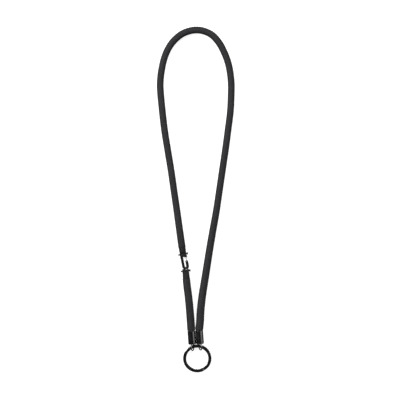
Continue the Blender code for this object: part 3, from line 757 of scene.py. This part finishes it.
def cast(name, shapes, place, surface, voxel, smoothing):
    """One smooth casting from overlapping closed shapes, which are in millimetres."""
    joined = bmesh.new()
    for shape in shapes:
        part = bpy.data.meshes.new(name)
        bmesh.ops.recalc_face_normals(shape, faces=shape.faces)
        shape.to_mesh(part)
        shape.free()
        joined.from_mesh(part)
        bpy.data.meshes.remove(part)
    rough = bpy.data.meshes.new(name)
    joined.to_mesh(rough)
    joined.free()
    holder = add_object(name + "_rough", rough, None)
    remesh = holder.modifiers.new("skin", "REMESH")
    remesh.mode = "VOXEL"
    remesh.voxel_size = voxel
    soften = holder.modifiers.new("soften", "SMOOTH")
    soften.factor = 0.5
    soften.iterations = smoothing
    bpy.context.view_layer.update()
    evaluated = holder.evaluated_get(bpy.context.evaluated_depsgraph_get())
    mesh = bpy.data.meshes.new_from_object(evaluated)
    bpy.data.objects.remove(holder)
    mesh.name = name
    mesh.transform(Matrix.Scale(MM, 4))
    mesh.shade_smooth()
    return add_object(name, mesh, surface, place)


def skin(rings, closed=False):
    """A bmesh through rings of points, with flat ends, or joined end to end where it is closed."""
    shape = bmesh.new()
    rows = [[shape.verts.new(point) for point in ring] for ring in rings]
    pairs = list(zip(rows, rows[1:]))
    if closed:
        pairs.append((rows[-1], rows[0]))
    for first, second in pairs:
        for i in range(len(first)):
            j = (i + 1) % len(first)
            shape.faces.new((first[i], first[j], second[j], second[i]))
    if not closed:
        shape.faces.new(rows[0])
        shape.faces.new(reversed(rows[-1]))
    return shape


def rod(start, end, radius, sides=32):
    axis = (end - start).normalized()
    across = axis.orthogonal().normalized()
    other = axis.cross(across)
    turns = [2 * pi * k / sides for k in range(sides)]
    ring = [radius * (cos(t) * across + sin(t) * other) for t in turns]
    return skin([[start + p for p in ring], [end + p for p in ring]])


def wire_ring(centre, ring_r, wire_r, stations=72, sides=20):
    """A round wire ring in the y-z plane."""
    rings = []
    for k in range(stations):
        angle = 2 * pi * k / stations
        out, side = Vector((0, cos(angle), sin(angle))), Vector((1, 0, 0))
        turns = [2 * pi * j / sides for j in range(sides)]
        rings.append([centre + ring_r * out + wire_r * (cos(t) * out + sin(t) * side) for t in turns])
    return skin(rings, closed=True)


def bar(inner, outer, low, high, power=4.0, sides=24):
    """A bar with rounded corners between two edges in the x-y plane and between two heights."""
    half_thick = (high - low) / 2
    middle = (high + low) / 2
    rings = []
    for p, q in zip(inner, outer):
        ring = []
        for k in range(sides):
            turn = 2 * pi * (k + 0.5) / sides
            a = float(rounded_power(cos(turn), power)) / 2
            z = float(rounded_power(sin(turn), power)) * half_thick + middle
            ring.append(Vector((*((p + q) / 2 + a * (p - q)), z)))
        rings.append(ring)
    return skin(rings)


def straight_bar(start, end, half_wide, low, high, power=4.0):
    along = (end - start).normalized()
    across = half_wide * Vector((-along.y, along.x))
    return bar([start + across, end + across], [start - across, end - across], low, high, power)


def make_eye(side, turn, surface):
    at, lean = ferrule_place(side)
    centre = Vector((0, EYE_Y, 0))
    foot = centre.y + EYE_R
    ring = wire_ring(centre, EYE_R, EYE_WIRE_R)
    shank = rod(Vector((0, foot, 0)), Vector((0, SHANK_TOP + SHANK_INTO_HEAD, 0)), SHANK_R)
    head = rod(Vector((0, SHANK_TOP, 0)), Vector((0, HEAD_TOP, 0)), HEAD_R)
    made = cast(side + "_eye_wire", [ring, shank, head], standing(at, lean, -turn), surface, 0.07, 6)
    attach(made, side + "_eye")
    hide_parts(side + "_swivel_eye")
    return made


# ---- Split ring

def ring_section(points=36):
    """Half widths and heights round a flattened wire."""
    turn = 2 * pi * (np.arange(points) + 0.5) / points
    across = rounded_power(np.cos(turn), RING_SQUARENESS) * RING_BAND / 2
    high = rounded_power(np.sin(turn), RING_SQUARENESS) * (RING_TURN_THICK / 2 + RING_CROWN)
    return across, high


def make_split_ring(surface):
    place, drop = ring_place()
    middle_r = RING_OUTER_R - RING_BAND / 2
    layer = (RING_TURN_THICK + RING_TURN_GAP) / 2
    start = RING_STEP_AT + RING_STEP_HALF + RING_END_GAP
    end = start + 4 * pi - 2 * (RING_STEP_HALF + RING_END_GAP)
    step_at = start - RING_STEP_HALF - RING_END_GAP + 2 * pi
    angle = np.linspace(start, end, RING_STATIONS)
    share = np.clip((angle - step_at) / (2 * RING_STEP_HALF) + 0.5, 0, 1)
    height = layer * (2 * share * share * (3 - 2 * share) - 1)
    a, b = ring_section()
    from_end = np.minimum(angle - angle[0], angle[-1] - angle) * middle_r
    full = np.sqrt(1 - (1 - np.clip(from_end / RING_END_ROUND, 0, 1)) ** 2)
    end_close = full * (1 - RING_END_SHARE) + RING_END_SHARE
    radius = middle_r + a[None, :] * end_close[:, None]
    x = radius * np.cos(angle)[:, None]
    y = radius * np.sin(angle)[:, None] - drop
    z = height[:, None] + b[None, :] * end_close[:, None]
    mesh = tube_mesh("split_ring_coil", np.stack([x, y, z], axis=-1))
    made = add_object("split_ring_coil", mesh, surface, place)
    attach(made, "ring")
    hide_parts("split_ring")
    return made


# ---- Hook

def strap_bar():
    """The shapes of a strap bar with a thicker head on its right end and a small one on its left."""
    shapes = [rod(Vector((-BAR_HALF, 0, 0)), Vector((BAR_HALF, 0, 0)), BAR_R)]
    tip = Vector((BAR_TIP_LONG - BAR_HALF, 0, 0))
    shapes.append(rod(Vector((-BAR_HALF, 0, 0)), tip, BAR_R + BAR_TIP_GROWTH))
    shapes.append(rod(Vector((BAR_HEAD_FROM_X, 0, 0)), Vector((BAR_HALF, 0, 0)), BAR_HEAD_R))
    return shapes


def stem(x, low_y):
    """The two edges of a flat bar of the hook, from its strap bar down to low_y, narrow under the loop."""
    ys = (0, STEM_TO_Y, SHOULDER_Y, low_y)
    halves = [WIRE_WIDE / 2 * share for share in (STEM_SHARE, STEM_SHARE, 1, 1)]
    return [Vector((x + h, y)) for y, h in zip(ys, halves)], [Vector((x - h, y)) for y, h in zip(ys, halves)]


def bend_edge(size, squareness):
    """Half of a rounded outline, from the spine's side, below the bend's centre, to the arm's side."""
    edge = []
    for k in range(25):
        turn = pi + pi * k / 24
        x, y = (float(rounded_power(part, squareness)) for part in (cos(turn), sin(turn)))
        edge.append(BEND_CENTRE + Vector((x * size.x, y * size.y)))
    return edge


def make_hook(surface):
    half, half_thick = WIRE_WIDE / 2, WIRE_THICK / 2
    inner, outer = stem(SPINE_X, BEND_CENTRE.y + STEM_INTO_BEND)
    inner += bend_edge(BEND_INNER, 2) + [Vector((ARM_X - half, SLOT_FLOOR_Y))]
    outer += bend_edge(BEND_OUTER, BEND_OUTER_SQUARENESS) + [Vector((ARM_X + half, SLOT_FLOOR_Y))]
    shapes = [bar(inner, outer, -half_thick, half_thick)]
    foot, tip = Vector((ARM_X, SLOT_FLOOR_Y - FORK_INTO_ARM)), Vector((ARM_X, ARM_TIP_Y))
    for low, high in ((-half_thick, -SLOT_HALF), (SLOT_HALF, half_thick)):
        shapes.append(straight_bar(foot, tip, half, low, high, 6))
    shapes += strap_bar()
    shapes.append(bar(*stem(NOSE_X, NOSE_TIP_Y), -half_thick, half_thick))
    web_half_thick = half_thick - WEB_INSET
    web = (Vector((SPINE_X, WEB_Y)), Vector((NOSE_X, WEB_Y)), WEB_WIDE / 2, -web_half_thick, web_half_thick)
    shapes.append(straight_bar(*web))
    shapes.append(straight_bar(LIP_FROM, LIP_TO, LIP_HALF_WIDE, -LIP_HALF_THICK, LIP_HALF_THICK))
    made = cast("hook_casting", shapes, standing(HOOK_AT, HOOK_LEAN), surface, 0.075, 5)
    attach(made, "strap")
    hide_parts("hook_frame")
    return made


def make_gate(surface):
    reach = GATE_TIP - PIN_AT
    place = standing(HOOK_AT, HOOK_LEAN) @ standing(Vector((*PIN_AT, 0)) * MM, atan2(-reach.x, reach.y))
    wide = GATE_HALF_WIDE
    tail_top = Vector((0, GATE_BODY_FROM + GATE_TAIL_INTO_BODY))
    tail = straight_bar(Vector((0, -GATE_TAIL_R * 0.2)), tail_top, wide, -GATE_TAIL_HALF, GATE_TAIL_HALF, 6)
    knuckle = rod(Vector((0, 0, -GATE_TAIL_HALF)), Vector((0, 0, GATE_TAIL_HALF)), GATE_TAIL_R)
    blade_foot, blade_tip = Vector((0, GATE_BODY_FROM)), Vector((0, reach.length))
    blade = straight_bar(blade_foot, blade_tip, wide, -GATE_BODY_HALF, GATE_BODY_HALF, 5)
    made = cast("gate_blade", [tail, knuckle, blade], place, surface, 0.06, 3)
    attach(made, "gate")
    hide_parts("hook_gate")
    return made


def make_spring(surface):
    """The bent leaf, from its foot in the arm up to the gate."""
    bends = [np.array((PIN_AT.x + x, PIN_AT.y + y, 0)) * MM for x, y in SPRING_BENDS]
    line = smooth_line(bends, SPRING_STEP * MM)
    side = directions(line)[0]
    turn = 2 * pi * np.arange(16) / 16
    x = rounded_power(np.cos(turn), 5) * SPRING_HALF_THICK * MM
    z = rounded_power(np.sin(turn), 5) * SPRING_HALF_WIDE * MM
    points = line[:, None, :] + x[None, :, None] * side[:, None, :] + z[None, :, None] * np.array((0, 0, 1.0))
    place = standing(HOOK_AT, HOOK_LEAN)
    made = add_object("spring_leaf", tube_mesh("spring_leaf", points), surface, place)
    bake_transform(made)
    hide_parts("gate_spring")
    return made


def make_eye_bar(surface):
    shapes = strap_bar()
    shapes.append(wire_ring(Vector((*LINK_EYE_AT, 0)), LINK_EYE_R, LINK_EYE_WIRE_R))
    made = cast("eye_bar_casting", shapes, standing(EYE_BAR_AT, EYE_BAR_LEAN), surface, 0.075, 5)
    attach(made, "strap")
    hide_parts("eye_bar")
    return made


def refinish(node, surface):
    """A better material on a CAD node that stays."""
    for holder in frame["nodes"][node].material_slots:
        holder.material = surface


# ---- Scene

def make_camera():
    data = bpy.data.cameras.new("camera")
    data.lens = LENS_MM
    data.sensor_width = SENSOR_MM
    camera = bpy.data.objects.new("camera", data)
    bpy.context.scene.collection.objects.link(camera)
    camera.location = (*VIEW_CENTRE, CORD_DIAMETER / 2 + VIEW_WIDTH * LENS_MM / SENSOR_MM)
    bpy.context.scene.camera = camera


def make_light(name, at, target, size, power):
    """A rectangular soft light that faces a point."""
    data = bpy.data.lights.new(name, "AREA")
    data.shape = "RECTANGLE"
    data.size, data.size_y = size
    data.energy = power
    light = bpy.data.objects.new(name, data)
    bpy.context.scene.collection.objects.link(light)
    light.location = at
    light.rotation_euler = (Vector(target) - Vector(at)).to_track_quat("-Z", "Y").to_euler()


def make_world(strength):
    world = bpy.data.worlds.new("studio")
    world.use_nodes = True
    world.node_tree.nodes["Background"].inputs["Color"].default_value = (1, 1, 1, 1)
    world.node_tree.nodes["Background"].inputs["Strength"].default_value = strength
    bpy.context.scene.world = world


def make_floor():
    """A white table that glows a little, so that it stays white with only faint shadows."""
    made, tree, shader = new_material("white_table", grey(0.4), 0.9)
    shader.inputs["Emission Color"].default_value = (1, 1, 1, 1)
    shader.inputs["Emission Strength"].default_value = TABLE_GLOW
    paper = noise(tree, coordinates(tree, "Object", (40, 40, 40)), 3)
    tree.links.new(ramp(tree, paper, [(0.3, grey(0.38)), (0.7, grey(0.42))]), shader.inputs["Base Color"])
    shape = bmesh.new()
    bmesh.ops.create_grid(shape, x_segments=8, y_segments=8, size=TABLE_HALF_WIDE)
    mesh = bpy.data.meshes.new("table")
    shape.to_mesh(mesh)
    shape.free()
    floor = add_object("table", mesh, made, Matrix.Translation((0, 0, -TABLE_DROP)))
    floor.visible_diffuse = False
    floor.visible_glossy = False


def make_all():
    make_camera()
    # The end loops get a darker copy of the braid, which is painted shade
    braid, shaded_loop_braid = braid_material("braided_polyester", 1), braid_material("painted_shade_braid", 0.7)
    thread, lacquer, steel = thread_material(), lacquer_material(), steel_material()
    nickel = plated_material("black_nickel", 0.14, 0.24, 1.0)
    zinc = plated_material("black_cast_zinc", 0.012, 0.05, 0.6)
    upper = standing(HOOK_AT, UPPER_LEAN)
    lower = standing(EYE_BAR_AT, LOWER_LEAN + pi)
    upper_cut, lower_cut = (UPPER_TONGUES, UPPER_FLAPS), (LOWER_TONGUES, LOWER_FLAPS)
    upper_loop = make_end_loop("upper_loop", "long_cord_end_loop", upper, *upper_cut, shaded_loop_braid)
    lower_loop = make_end_loop("lower_loop", "short_cord_end_loop", lower, *lower_cut, shaded_loop_braid)
    upper_tack = make_stitching("upper_tack", "long_cord_stitching", upper, thread)
    lower_tack = make_stitching("lower_tack", "short_cord_stitching", lower, thread)
    long_start, short_start = loop_end(HOOK_AT, UPPER_LEAN), loop_end(EYE_BAR_AT, LOWER_LEAN + pi)
    make_cord("long_braid", "long_cord", long_start, LONG_ROUTE, "right", braid)
    make_cord("short_braid", "short_cord", short_start, SHORT_ROUTE, "left", braid)
    for side, turn in (("left", LEFT_TURN), ("right", RIGHT_TURN)):
        make_ferrule(side, lacquer)
        make_eye(side, turn, nickel)
        refinish(side + "_swivel_washer", steel)
    make_split_ring(nickel)
    make_hook(zinc)
    make_gate(steel)
    make_spring(steel)
    make_eye_bar(zinc)
    refinish("gate_pin", steel)
    make_world(WORLD_STRENGTH)
    for light in LIGHTS:
        make_light(*light)
    make_floor()
    bpy.context.scene.view_settings.view_transform = "Standard"


make_all()
